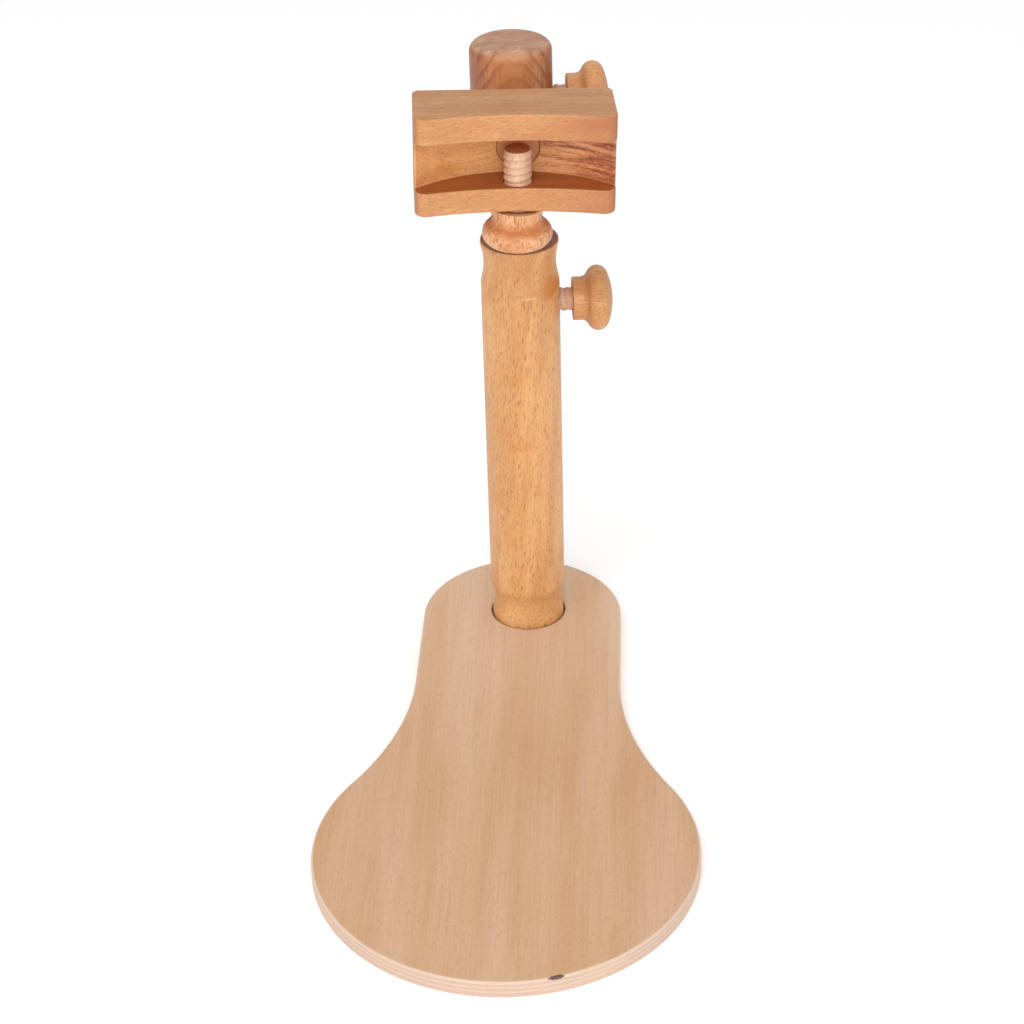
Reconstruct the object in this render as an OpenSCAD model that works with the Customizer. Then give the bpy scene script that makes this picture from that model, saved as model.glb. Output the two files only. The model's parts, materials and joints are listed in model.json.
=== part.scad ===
// Seat stand for an embroidery hoop, turned and cut from beech.
// Origin: underside of the base, on the axis of the column. +Z up, the wide end of the base towards -Y.

/* [Base board] */
// Thickness of the plywood
base_t = 8; // [6:0.5:12]
// Radius of the wide end that is sat on
seat_r = 84; // [75:1:95]
// Distance from the column axis to the centre of the wide end
seat_d = 183.5; // [170:0.5:220]
// Half width of the narrow end, which is also its radius
tail_r = 48.5; // [44:0.5:56]
// Distance from the column axis forward to the centre of the narrow end
tail_d = 4; // [2:1:10]
// Radius of the hollow flare between the narrow and the wide end
flare_r = 151; // [120:1:200]
// Distance by which the column stands to the right of the base's middle
base_shift = 2.9; // [0:0.1:5]

/* [Column] */
// Height of the rim above the floor
rim_z = 210; // [190:5:260]
// Radius of the shaft
column_r = 18; // [17:0.5:22]
// Angle by which the column and all it carries are turned against the base
column_turn = 5.6; // [-15:0.1:15]
// Height of the floor of the bore
bore_floor_z = 50; // [45:1:60]
// Radius of the foot in its hole
foot_r = 17.3; // [16.5:0.1:18]
// Depth of the hole for the foot
foot_seat = 4; // [3:0.5:5]
// Gap around the foot
foot_gap = 0.9; // [0.3:0.1:1.5]

/* [Lift rod and head] */
// Radius of the rod
rod_r = 11.6; // [10:0.1:12]
// Play of the rod in the bore, all round
rod_play = 1.1; // [0.9:0.05:1.2]
// Distance by which its locking screw has pushed the rod aside
rod_shift = 0.8; // [0:0.1:0.8]
// Distance from the column axis to the middle of the head, away from the knobs
head_shift = 1.7; // [0:0.1:2.5]
// Height of the rod's lower end
rod_low_z = 75; // [70:1:90]
// Height of the head's lower face
head_low_z = 232; // [226:1:234]
// Height of the head's top
head_top_z = 303; // [295:1:306]
// Rounding of the head's two edges
head_round = 4; // [2:0.5:5]
// Depth of the socket for the rod
rod_socket = 30; // [20:1:32]

/* [Arm] */
// Radius of the arm
arm_r = 9; // [8:0.5:9.5]
// Height of the arm's axis
arm_z = 275; // [275:0.5:278]
// Reach of the arm behind the column axis
arm_back = 38; // [30:1:42]
// Gap between the arm and its hole in the head
arm_gap = 0.3; // [0.3:0.05:0.6]

/* [Clamp block] */
// Width of the block
block_w = 84; // [70:2:90]
// Distance from the column axis to the back of the block
block_back = 38; // [34:1:44]
// Depth of the block at its middle
block_d = 29.4; // [28:0.2:34]
// Height of the block
block_h = 43.5; // [42:0.5:46]
// Thickness of the upper jaw
jaw_t = 11.8; // [10:0.1:12]
// Clear height between the jaw and the lip
jaw_gap = 21; // [20:0.5:22]
// Depth of the gap at its middle
gap_d = 17.7; // [16:0.1:19]
// Radius of the hollow front faces
front_r = 160; // [140:10:300]
// Radius of the hollow at the back of the gap
gap_r = 62.8; // [60:0.2:70]
// Rounding of the upright front corners
corner_r = 6; // [2:0.5:7]
// Distance from the arm to the middle of the block, away from the knobs
block_shift = 2.1; // [0:0.1:4]
// Angle by which the block hangs down on the side of the knobs
block_tilt = 1.7; // [-10:0.1:10]

/* [Wooden screws] */
// Major radius of the two locking screws
lock_r = 5.5; // [5:0.1:6]
// Major radius of the clamping screw
clamp_r = 6; // [5.5:0.1:6.5]
// Height of the lower locking screw
height_z = 178; // [170:1:182]
// Height of the upper locking screw above the arm's axis
arm_screw_rise = 1.7; // [0:0.1:2.5]
// Gap left between a locking screw and the part it holds
tip_gap = 0.4; // [0.3:0.1:1]
// Distance from the middle of the front edge back to the clamping screw
clamp_inset = 9; // [8:0.5:10]
// Distance from the middle of the block to the clamping screw, towards the knobs
clamp_side = 1.4; // [0:0.1:3]
// Height by which the clamping screw stands in the gap
clamp_rise = 14.5; // [10:0.1:16]
// Length of the blank end of a screw in its knob
blank_l = 10; // [8:1:12]
// Step from the thread down to the blank end
blank_step = 0.3; // [0.2:0.1:0.5]
// Length of the blank part that stays in sight outside the neck
blank_sight = 3; // [0:0.5:3]

/* [Knobs] */
// Largest radius of a knob
knob_r = 15; // [14:0.1:16]
// Length of a knob
knob_l = 18.4; // [18:0.1:20]
// Radius of a knob's neck
neck_r = 10; // [9:0.1:10.5]
// Length of the straight part of the neck
neck_l = 3.8; // [3:0.1:4.5]
// Radius of the round rim
knob_rim = 5; // [4.5:0.1:5.2]
// Distance from the neck's face to the middle of the rim
knob_rim_l = 11.5; // [11:0.1:12]
// Radius of the flat spot in the middle of a knob's dome
knob_flat = 1.5; // [1:0.1:2.5]
// Distance from the column axis to the neck of the lower knob
height_knob_x = 23.7; // [22:0.1:28]
// Distance from the column axis to the neck of the upper knob
arm_knob_x = 22.3; // [20:0.1:28]
// Gap between the lip and the neck of the clamping knob
clamp_knob_gap = 1.3; // [0.3:0.1:2]

/* [Foot screw] */
// Radius of the shank
foot_screw_r = 2.5; // [2:0.1:3]
// Radius of the countersunk head
foot_head_r = 4.6; // [4:0.1:5]
// Length of the screw
foot_screw_l = 38; // [30:1:40]

/* [Hidden] */
$fn = 96;

eps = 0.01;
over = 1;
// Clearance of a part that turns or is glued in its hole
fit = 0.05;
// Clearance of the steel screw in the base
screw_gap = 0.3;
// Clearance of a threaded hole around the crests
thread_fit = 0.08;
// Clearance at the blind end of a socket
end_gap = 0.3;
// Chamfer on the end of a dowel
chamfer = 0.8;

floor_z = base_t - foot_seat;
// Rounding of the column's rim
rim_round = 1.2;
// Coves of the column: height, depth below the shaft's surface and radius of the hollow
top_cove_z = rim_z - 11;
top_cove_depth = 1.5;
top_cove_r = 30;
foot_cove_z = 18;
foot_cove_depth = 2;
foot_cove_r = 18;
// Height above the hole's floor where the foot swells to the shaft
foot_l = 8;

front_y = -block_back - block_d;
wall_y = front_y + gap_d;
block_top_z = arm_z + block_h / 2;
gap_top_z = block_top_z - jaw_t;
lip_z = gap_top_z - jaw_gap;
block_low_z = block_top_z - block_h;
clamp_y = front_y + clamp_inset;
arm_screw_z = arm_z + arm_screw_rise;
// The front corners reach further forward than the middle by the rise of the front arc
front_rise = front_r - sqrt(front_r ^ 2 - (block_w / 2) ^ 2);

arm_hole_r = arm_r + arm_gap;
// The clamping screw, seen from the arm
clamp_x = clamp_side - block_shift;
// The rim and the neck meet in a hollow that is tangent to both
rim_x = knob_r - knob_rim;
cove_run = rim_x - neck_r;
cove_l = knob_rim_l - neck_l;
cove_r = (cove_run ^ 2 + cove_l ^ 2 - knob_rim ^ 2) / (2 * (knob_rim + cove_run));
// The domed face is tangent to the rim
dome_top = knob_l - knob_rim_l;
dome_run = rim_x - knob_flat;
dome_r = (dome_run ^ 2 + dome_top ^ 2 - knob_rim ^ 2) / (2 * (dome_top - knob_rim));
dome_y = knob_l - dome_r;

// Countersunk head and its recess
foot_head_l = 2.6;
foot_head_sink = 0.3;
drive_w = 1;
drive_l = 5;
drive_depth = 1.8;
foot_tip_l = 6;

// The column and everything on it share this turn
module turned() {
    rotate([0, 0, column_turn]) children();
}

// The head and the arm stand off the column's axis
module on_head() {
    turned() translate([-head_shift, 0, 0]) children();
}

// The block and its screw are tilted about the arm
module on_arm() {
    on_head() translate([0, 0, arm_z]) rotate([0, block_tilt, 0]) translate([0, 0, -arm_z]) children();
}

// Lays a part made along +Z out along +X
module lay_x() {
    rotate([0, 90, 0]) children();
}

// Lays a part made along +Z out along +Y
module lay_y() {
    rotate([-90, 0, 0]) children();
}

// Dowel from the origin up, with both ends chamfered
module dowel(r, l) {
    cylinder(h = chamfer, r1 = r - chamfer, r2 = r);
    translate([0, 0, chamfer]) cylinder(h = l - 2 * chamfer, r = r);
    translate([0, 0, l - chamfer]) cylinder(h = chamfer, r1 = r, r2 = r - chamfer);
}

// Outline of the base: round tail, straight neck, hollow flare and round seat.
// Each flare circle touches the neck's side and the seat's circle.
module base_outline() {
    flare_x = tail_r + flare_r;
    flare_y = -seat_d + sqrt((seat_r + flare_r) ^ 2 - flare_x ^ 2);
    translate([0, -tail_d]) circle(r = tail_r, $fn = 180);
    translate([0, -seat_d]) circle(r = seat_r, $fn = 240);
    difference() {
        polygon([
            [-tail_r, -tail_d], [-tail_r, flare_y], [-flare_x, flare_y], [0, -seat_d],
            [flare_x, flare_y], [tail_r, flare_y], [tail_r, -tail_d]
        ]);
        for (side = [-1, 1])
            translate([side * flare_x, flare_y]) circle(r = flare_r, $fn = 360);
    }
}

module base_board() {
    color("BurlyWood") difference() {
        translate([-base_shift, 0, 0]) linear_extrude(base_t) base_outline();
        translate([0, 0, floor_z]) cylinder(h = foot_seat + over, r = foot_r + foot_gap);
        translate([0, 0, -over]) cylinder(h = base_t + over, r = foot_screw_r + screw_gap);
        translate([0, 0, -eps]) cylinder(h = foot_head_sink + 2 * eps, r = foot_head_r + fit);
        translate([0, 0, foot_head_sink])
            cylinder(h = foot_head_l, r1 = foot_head_r + fit, r2 = foot_screw_r + fit);
    }
}

module foot_screw() {
    color("Silver") translate([0, 0, foot_head_sink]) difference() {
        union() {
            cylinder(h = foot_head_l, r1 = foot_head_r, r2 = foot_screw_r);
            cylinder(h = foot_screw_l - foot_tip_l, r = foot_screw_r);
            translate([0, 0, foot_screw_l - foot_tip_l])
                cylinder(h = foot_tip_l, r1 = foot_screw_r, r2 = foot_screw_r / 8);
        }
        for (a = [0, 90])
            rotate([0, 0, a])
                translate([-drive_l / 2, -drive_w / 2, -eps])
                    cube([drive_l, drive_w, drive_depth]);
    }
}

// Half section of the column without its bore
module column_section() {
    shaft_z = floor_z + foot_l;
    shoulder_z = rim_z - rim_round;
    difference() {
        union() {
            translate([0, floor_z]) square([foot_r, foot_l + over]);
            translate([0, shaft_z]) square([column_r, shoulder_z - shaft_z]);
            translate([0, shaft_z]) square([column_r - rim_round, rim_z - shaft_z]);
            translate([column_r - rim_round, shoulder_z]) circle(r = rim_round);
        }
        translate([column_r - top_cove_depth + top_cove_r, top_cove_z]) circle(r = top_cove_r, $fn = 180);
        translate([column_r - foot_cove_depth + foot_cove_r, foot_cove_z]) circle(r = foot_cove_r, $fn = 180);
    }
}

module column() {
    color("SandyBrown") turned() difference() {
        rotate_extrude() column_section();
        translate([0, 0, bore_floor_z]) cylinder(h = rim_z, r = rod_r + rod_play);
        translate([0, 0, height_z]) lay_x() cylinder(h = 2 * column_r, r = lock_r + thread_fit);
        translate([0, 0, -over]) cylinder(h = foot_screw_l + 2 * over, r = foot_screw_r + fit);
    }
}

module lift_rod() {
    rod_top = head_low_z + rod_socket - end_gap;
    color("Wheat") turned() translate([-rod_shift, 0, rod_low_z]) dowel(rod_r, rod_top - rod_low_z);
}

// Half section of the head: a cylinder with both edges rounded
module head_section() {
    core_r = column_r - head_round;
    translate([0, head_low_z]) square([core_r, head_top_z - head_low_z]);
    translate([0, head_low_z + head_round]) square([column_r, head_top_z - head_low_z - 2 * head_round]);
    for (z = [head_low_z + head_round, head_top_z - head_round])
        translate([core_r, z]) circle(r = head_round);
}

module head() {
    color("Peru") on_head() difference() {
        rotate_extrude() head_section();
        translate([head_shift - rod_shift, 0, head_low_z - over]) cylinder(h = rod_socket + over, r = rod_r + fit);
        translate([0, -2 * column_r, arm_z]) lay_y() cylinder(h = 4 * column_r, r = arm_hole_r);
        translate([0, 0, arm_screw_z]) lay_x() cylinder(h = 2 * column_r, r = lock_r + thread_fit);
    }
}

// The arm ends level with the back of the gap
module arm() {
    arm_front = wall_y + end_gap;
    color("Wheat") on_head() translate([0, arm_front, arm_z]) lay_y() dowel(arm_r, arm_back - arm_front);
}

// Plan of the block: a rectangle with a hollow front and rounded front corners
module block_plan() {
    tip_y = front_y - front_rise;
    half_w = block_w / 2;
    difference() {
        translate([-half_w, tip_y]) square([block_w, -block_back - tip_y]);
        translate([0, front_y - front_r]) circle(r = front_r, $fn = 360);
        for (side = [-1, 1])
            translate([side * (half_w - corner_r), tip_y + corner_r]) difference() {
                translate([side > 0 ? 0 : -corner_r - over, -corner_r - over])
                    square([corner_r + over, corner_r + over]);
                circle(r = corner_r);
            }
    }
}

module clamp_block() {
    color("Chocolate") on_arm() difference() {
        translate([-block_shift, 0, block_low_z]) linear_extrude(block_h) block_plan();
        translate([-block_shift, wall_y - gap_r, lip_z]) cylinder(h = jaw_gap, r = gap_r, $fn = 360);
        translate([0, wall_y - over, arm_z]) lay_y() cylinder(h = block_d, r = arm_r + fit);
        translate([clamp_x, clamp_y, block_low_z - over])
            cylinder(h = lip_z - block_low_z + 2 * over, r = clamp_r + thread_fit);
    }
}

// Wooden screw from its tip at the origin up to the end of its blank part
module wood_screw(r, l) {
    thread_l = l - blank_l - blank_sight;
    cylinder(h = chamfer, r1 = r - chamfer, r2 = r);
    translate([0, 0, chamfer]) cylinder(h = thread_l - chamfer, r = r);
    translate([0, 0, thread_l - eps]) cylinder(h = l - thread_l + eps, r = r - blank_step);
}

// Half section of a knob along +Y, from the neck's face to the top of the dome
module knob_section() {
    cove_x = neck_r + cove_r;
    square([neck_r, knob_rim_l]);
    difference() {
        polygon([[0, neck_l], [cove_x, neck_l], [rim_x, knob_rim_l], [0, knob_rim_l]]);
        translate([cove_x, neck_l]) circle(r = cove_r);
    }
    translate([rim_x, knob_rim_l]) circle(r = knob_rim);
    square([knob_flat, knob_l]);
    intersection() {
        translate([knob_flat, dome_y]) circle(r = dome_r, $fn = 240);
        polygon([
            [knob_flat, neck_l],
            [rim_x, knob_rim_l],
            [rim_x + dome_run, 2 * knob_rim_l - dome_y],
            [knob_flat, 2 * knob_l]
        ]);
    }
}

// Knob with a socket for the blank end of a screw of radius r
module knob(r) {
    difference() {
        rotate_extrude() intersection() {
            knob_section();
            square([2 * knob_r, 2 * knob_l]);
        }
        translate([0, 0, -over]) cylinder(h = blank_l + end_gap + over, r = r - blank_step + fit);
    }
}

module height_screw() {
    tip_x = rod_r - rod_shift + tip_gap;
    color("NavajoWhite") turned() translate([tip_x, 0, height_z]) lay_x()
        wood_screw(lock_r, height_knob_x + blank_l - tip_x);
}

module height_knob() {
    color("SandyBrown") turned() translate([height_knob_x, 0, height_z]) lay_x() knob(lock_r);
}

module arm_screw() {
    tip_x = arm_r - head_shift + tip_gap;
    color("NavajoWhite") turned() translate([tip_x, 0, arm_screw_z]) lay_x()
        wood_screw(lock_r, arm_knob_x + blank_l - tip_x);
}

module arm_knob() {
    color("SandyBrown") turned() translate([arm_knob_x, 0, arm_screw_z]) lay_x() knob(lock_r);
}

// The clamping screw and its knob point down from the lip
module clamp_screw() {
    tip_z = lip_z + clamp_rise;
    neck_z = block_low_z - clamp_knob_gap;
    color("NavajoWhite") on_arm() translate([clamp_x, clamp_y, tip_z]) mirror([0, 0, 1])
        wood_screw(clamp_r, tip_z - neck_z + blank_l);
}

module clamp_knob() {
    neck_z = block_low_z - clamp_knob_gap;
    color("SandyBrown") on_arm() translate([clamp_x, clamp_y, neck_z]) mirror([0, 0, 1]) knob(clamp_r);
}

base_board();
foot_screw();
column();
lift_rod();
head();
arm();
clamp_block();
height_screw();
height_knob();
arm_screw();
arm_knob();
clamp_screw();
clamp_knob();
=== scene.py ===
"""Looks for an embroidery hoop seat stand: turned and cut beech on a plywood base board."""

import json
import math

import bmesh
import bpy
import numpy as np
from mathutils import Matrix, Vector


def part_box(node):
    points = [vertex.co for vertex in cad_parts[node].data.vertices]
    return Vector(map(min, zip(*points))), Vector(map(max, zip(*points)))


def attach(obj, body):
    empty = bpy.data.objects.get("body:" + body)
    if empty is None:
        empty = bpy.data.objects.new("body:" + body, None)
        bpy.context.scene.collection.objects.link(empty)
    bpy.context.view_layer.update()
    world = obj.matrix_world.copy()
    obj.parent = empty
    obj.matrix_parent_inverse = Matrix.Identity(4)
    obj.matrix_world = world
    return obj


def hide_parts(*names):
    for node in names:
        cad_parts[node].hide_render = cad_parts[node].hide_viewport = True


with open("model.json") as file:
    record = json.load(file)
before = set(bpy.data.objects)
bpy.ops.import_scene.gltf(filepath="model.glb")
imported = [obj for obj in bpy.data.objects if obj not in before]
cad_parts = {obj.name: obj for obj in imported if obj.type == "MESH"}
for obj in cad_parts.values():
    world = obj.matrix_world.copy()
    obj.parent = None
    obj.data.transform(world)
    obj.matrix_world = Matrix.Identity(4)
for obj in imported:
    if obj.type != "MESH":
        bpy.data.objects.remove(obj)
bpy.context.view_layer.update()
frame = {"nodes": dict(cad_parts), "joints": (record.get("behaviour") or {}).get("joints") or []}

# All lengths in this file are millimetres unless a comment says otherwise
MM = 0.001
TAU = 2 * math.pi

# The arm slides along the turned -Y axis, which gives the turn of the column against the base
REACH_AXIS = next(j["axis"] for j in frame["joints"] if j["name"] == "reach")
TURN = Matrix.Rotation(math.atan2(REACH_AXIS[0], -REACH_AXIS[1]), 4, "Z")

# Laying a piece made along +Z out along +X, along +Y, or down along -Z
ALONG_X = Matrix.Rotation(math.radians(90), 4, "Y")
ALONG_Y = Matrix.Rotation(math.radians(-90), 4, "X")
DOWN = Matrix.Rotation(math.radians(180), 4, "X")


def at(x, y, z):
    """Matrix that moves by x, y and z."""
    return Matrix.Translation(Vector((x, y, z)) * MM)


def turned_box(node, place=TURN):
    """Lowest and highest corner of a CAD node in the frame that a matrix gives."""
    back = np.array(place.inverted())
    co = np.array([v.co for v in frame["nodes"][node].data.vertices])
    local = co @ back[:3, :3].T + back[:3, 3]
    return local.min(0) / MM, local.max(0) / MM


def middle(node, place=TURN):
    """Middle of a CAD node's box in the frame that a matrix gives."""
    low, high = turned_box(node, place)
    return (low + high) / 2


def block_frame():
    """Frame of the clamp block: turned with the column, and tilted about the arm like its screw."""
    axis = next(j["axis"] for j in frame["joints"] if j["name"] == "clamp_screw_travel")
    down = TURN.to_3x3().inverted() @ Vector(axis)
    tilt = Matrix.Rotation(math.atan2(-down[0], -down[2]), 4, "Y")
    x, _, z = middle("arm")
    return TURN @ at(x, 0, z) @ tilt


BLOCK_PLACE = block_frame()


def across(node, place, axis):
    """Middle and half width of a CAD node along one axis of a frame."""
    low, high = turned_box(node, place)
    return (high[axis] + low[axis]) / 2, (high[axis] - low[axis]) / 2


def board_box():
    """Lowest and highest corner of the base board."""
    low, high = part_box("base_board")
    return np.array(low) / MM, np.array(high) / MM


# ---- meshes


def add_object(name, data):
    """A new object in the scene for a mesh, lamp or camera."""
    obj = bpy.data.objects.new(name, data)
    bpy.context.scene.collection.objects.link(obj)
    return obj


def smooth(mesh):
    """Shades a whole mesh smooth."""
    mesh.polygons.foreach_set("use_smooth", [True] * len(mesh.polygons))


def make_object(name, points, faces, place):
    """A smooth-shaded mesh object, put in place by a matrix."""
    mesh = bpy.data.meshes.new(name)
    corners = [tuple(float(c) * MM for c in p) for p in points]
    mesh.from_pydata(corners, [], [list(map(int, f)) for f in faces])
    mesh.validate()
    mesh.update()
    smooth(mesh)
    obj = add_object(name, mesh)
    obj.matrix_world = place
    return obj


def skin(rows, start, end):
    """Points and faces of a closed tube over rings of points, with a centre point at each end."""
    rows = np.asarray(rows, float)
    count, around, _ = rows.shape
    points = list(rows.reshape(-1, 3)) + [np.array(start, float), np.array(end, float)]
    first, last = count * around, count * around + 1
    faces = []
    for i in range(count - 1):
        low, high = i * around, (i + 1) * around
        for j in range(around):
            k = (j + 1) % around
            faces.append((low + j, low + k, high + k, high + j))
    top = (count - 1) * around
    for j in range(around):
        k = (j + 1) % around
        faces.append((first, k, j))
        faces.append((last, top + j, top + k))
    return points, faces


def winding(heights, sides, radius_at):
    """Rings of points whose radius depends on the height and on the part of a turn."""
    rows = []
    for z in heights:
        row = []
        for j in range(sides):
            r = radius_at(z, j / sides)
            row.append((r * math.cos(j * TAU / sides), r * math.sin(j * TAU / sides), z))
        rows.append(row)
    return rows


def lathe(name, profile, around, place):
    """A turned piece from its half section as (radius, height), from the axis out and back."""
    angle = np.arange(around) * TAU / around
    ring = np.stack([np.cos(angle), np.sin(angle)], -1)
    rows = [np.column_stack([r * ring, np.full(around, z)]) for r, z in profile[1:-1]]
    points, faces = skin(rows, (0, 0, profile[0][1]), (0, 0, profile[-1][1]))
    return make_object(name, points, faces, place)


def arc(centre, radius, start, end, steps):
    """Points on an arc from one angle to another, in degrees."""
    angles = np.radians(np.linspace(start, end, steps + 1))
    return [(centre[0] + radius * math.cos(a), centre[1] + radius * math.sin(a)) for a in angles]


def line(start, end, steps):
    """Points on a straight line, without the first one."""
    share = np.linspace(0, 1, steps + 1)[1:, None]
    return [tuple(p) for p in np.array(start) * (1 - share) + np.array(end) * share]


# Steps between faces, in degrees, from which an edge is shaded sharp
CUT_SHARP = 40
BOARD_SHARP = 50


def take_out(obj, cutter):
    """Cuts one mesh out of another for good."""
    change = obj.modifiers.new("cut", "BOOLEAN")
    change.object = cutter
    change.operation = "DIFFERENCE"
    change.solver = "EXACT"
    bpy.context.view_layer.update()
    seen = obj.evaluated_get(bpy.context.evaluated_depsgraph_get())
    mesh = bpy.data.meshes.new_from_object(seen)
    obj.modifiers.clear()
    obj.data = mesh
    bpy.data.objects.remove(cutter)
    smooth(mesh)
    mesh.set_sharp_from_angle(angle=math.radians(CUT_SHARP))


# ---- shapes from a distance field


# Rounds of evening out a surface, steps of each pull onto the field, and its least slope
EVEN_ROUNDS = 3
PULL_STEPS = 3
LEAST_SLOPE = 0.2


def both(radius, *fields):
    """Field of what lies inside every field, with the edges between them rounded to a radius."""
    over = [np.maximum(f + radius, 0) ** 2 for f in fields]
    most = np.maximum.reduce(list(fields))
    return np.minimum(most, -radius) + np.sqrt(sum(over))


def surface_of(field, low, high, step):
    """Points and quads on the surface where a field is zero, over a grid from low to high."""
    counts = [int(math.ceil((b - a) / step)) + 1 for a, b in zip(low, high)]
    axes = [a + step * np.arange(n) for a, n in zip(low, counts)]
    inside = field(*np.meshgrid(*axes, indexing="ij")) < 0
    nx, ny, nz = counts
    corners = np.zeros((nx - 1, ny - 1, nz - 1), np.int8)
    for i, j, k in np.ndindex(2, 2, 2):
        corners += inside[i : nx - 1 + i, j : ny - 1 + j, k : nz - 1 + k]
    mixed = (corners > 0) & (corners < 8)
    index = np.full(mixed.shape, -1)
    index[mixed] = np.arange(mixed.sum())
    points = np.argwhere(mixed) * step + np.array(low) + step / 2
    quads = []
    for axis in range(3):
        lower = np.take(inside, range(counts[axis] - 1), axis)
        upper = np.take(inside, range(1, counts[axis]), axis)
        at_edge = np.argwhere(lower != upper)
        eu, ev = np.eye(3, dtype=int)[[(axis + 1) % 3, (axis + 2) % 3]]
        ring = [at_edge - eu - ev, at_edge - ev, at_edge, at_edge - eu]
        quad = np.stack([index[tuple(c.T)] for c in ring], -1)
        outward = lower[tuple(at_edge.T)]
        quad[~outward] = quad[~outward][:, ::-1]
        quads.append(quad)
    quads = np.concatenate(quads)
    for _ in range(EVEN_ROUNDS):
        points = pull_on(field, relax(points, quads), step)
    return pull_on(field, points, step), quads


def relax(points, quads):
    """Moves each point to the middle of its neighbours."""
    total, count = np.zeros_like(points), np.zeros(len(points))
    for a in range(4):
        for b in ((a + 1) % 4, (a + 3) % 4):
            np.add.at(total, quads[:, a], points[quads[:, b]])
            np.add.at(count, quads[:, a], 1)
    return total / count[:, None]


def pull_on(field, points, step):
    """Moves points straight onto the surface of the field."""
    tiny = step / 50
    for _ in range(PULL_STEPS):
        x, y, z = points.T
        value = field(x, y, z)
        ways = tiny * np.eye(3)
        rise = [field(x + a, y + b, z + c) - field(x - a, y - b, z - c) for a, b, c in ways]
        slope = np.stack(rise, -1) / (2 * tiny)
        size = np.maximum((slope**2).sum(-1), LEAST_SLOPE)
        points = points - slope * (value / size)[:, None]
    return points


# ---- base board

FLARE_R = 151
TAIL_R = 48.5
FOOT_HOLE_R = 18.2
FOOT_FLOOR = 4
BOARD_SCREW_R = 2.8
BOARD_HEAD_R = 4.65
BOARD_HEAD_END = 2.9
BOARD_TOP_ROUND = 1.3
BOARD_LOW_ROUND = 0.8
PLY_COUNT = 7
PLY_PROUD = 0.05
SAW_MARK = 0.01
FACE_INSET = 4.0
HOLE_SIDES = 96

# A hole's softened mouth: how deep it goes, and the point halfway round it as (outwards, down)
MOUTH = 0.3
MOUTH_MIDDLE = (0.08, 0.09)


def board_ring(inset):
    """Outline of the board moved inwards: tail, neck, flare, seat, flare and neck again."""
    low, high = board_box()
    seat_r, middle_x = (high[0] - low[0]) / 2, (high[0] + low[0]) / 2
    seat_y, tail_y = low[1] + seat_r, high[1] - TAIL_R
    flare_x = TAIL_R + FLARE_R
    flare_y = seat_y + math.sqrt((seat_r + FLARE_R) ** 2 - flare_x**2)
    touch = math.degrees(math.atan2(flare_y - seat_y, flare_x))
    tail = arc((0, tail_y), TAIL_R - inset, 0, 180, 60)
    neck = line((inset - TAIL_R, tail_y), (inset - TAIL_R, flare_y), 20)
    flare = arc((-flare_x, flare_y), FLARE_R + inset, 0, -touch, 48)
    seat = arc((0, seat_y), seat_r - inset, 180 - touch, 360 + touch, 150)
    back = [(-x, y) for x, y in reversed(tail[-1:] + neck + flare[1:-1])]
    outline = tail + neck + flare[1:] + seat[1:] + back[:-1]
    return [(middle_x + x, y) for x, y in outline]


def ply_profile(thickness):
    """(inset, height) up the board's edge: rounded edges, and plies a hair proud or back."""
    low_r, top_r = BOARD_LOW_ROUND, BOARD_TOP_ROUND
    low, side, high = [], [], []
    for a in np.radians(np.linspace(0, 90, 5)):
        low.append((low_r * (1 - math.sin(a)), low_r * (1 - math.cos(a))))
    for i, z in enumerate(np.linspace(low_r, thickness - top_r, 24)[1:-1]):
        wave = 1 + math.sin(z / thickness * PLY_COUNT * math.pi)
        side.append((PLY_PROUD * wave / 2 + SAW_MARK * (i % 3), z))
    for a in np.radians(np.linspace(0, 90, 7)):
        high.append((top_r * (1 - math.cos(a)), thickness - top_r * (1 - math.sin(a))))
    return low + side + high


def bridge(mesh, first, second):
    """Faces from one ring of corners to the next."""
    for j in range(len(first)):
        k = (j + 1) % len(first)
        mesh.faces.new((first[j], first[k], second[k], second[j]))


def board_hole(thickness):
    """(radius, height) down the hole for the foot and through the countersunk screw hole."""
    out, down = MOUTH_MIDDLE
    return [
        (FOOT_HOLE_R + 1.5, thickness),
        (FOOT_HOLE_R + MOUTH, thickness),
        (FOOT_HOLE_R + out, thickness - down),
        (FOOT_HOLE_R, thickness - MOUTH),
        (FOOT_HOLE_R, FOOT_FLOOR),
        (BOARD_SCREW_R, FOOT_FLOOR),
        (BOARD_SCREW_R, BOARD_HEAD_END),
        (BOARD_HEAD_R, 0.3),
        (BOARD_HEAD_R, 0.0),
        (BOARD_HEAD_R + 1, 0.0),
    ]


def board():
    """Base board with rounded edges and the holes for the foot and its screw."""
    low, high = board_box()
    thickness = high[2] - low[2]
    profile = [(FACE_INSET, 0.0), *ply_profile(thickness), (FACE_INSET, thickness)]
    rows = [[(x, y, z) for x, y in board_ring(inset)] for inset, z in profile]
    angles = [i * TAU / HOLE_SIDES for i in range(HOLE_SIDES)]
    hole = board_hole(thickness)
    holes = [[(r * math.cos(a), r * math.sin(a), z) for a in angles] for r, z in hole]
    mesh = bmesh.new()
    grid = [[mesh.verts.new(Vector(p) * MM) for p in row] for row in rows]
    for lower, upper in zip(grid, grid[1:]):
        bridge(mesh, lower, upper)
    rings = [[mesh.verts.new(Vector(p) * MM) for p in ring] for ring in holes]
    for upper, lower in zip(rings, rings[1:]):
        bridge(mesh, upper, lower)
    for face in ((grid[-1], rings[0]), (grid[0], rings[-1])):
        edges = [mesh.edges.get(pair) for ring in face for pair in zip(ring, ring[1:] + ring[:1])]
        bmesh.ops.triangle_fill(mesh, use_beauty=True, edges=edges)
    bmesh.ops.recalc_face_normals(mesh, faces=mesh.faces)
    data = bpy.data.meshes.new("board")
    mesh.to_mesh(data)
    mesh.free()
    smooth(data)
    data.set_sharp_from_angle(angle=math.radians(BOARD_SHARP))
    return add_object("board", data)


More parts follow.
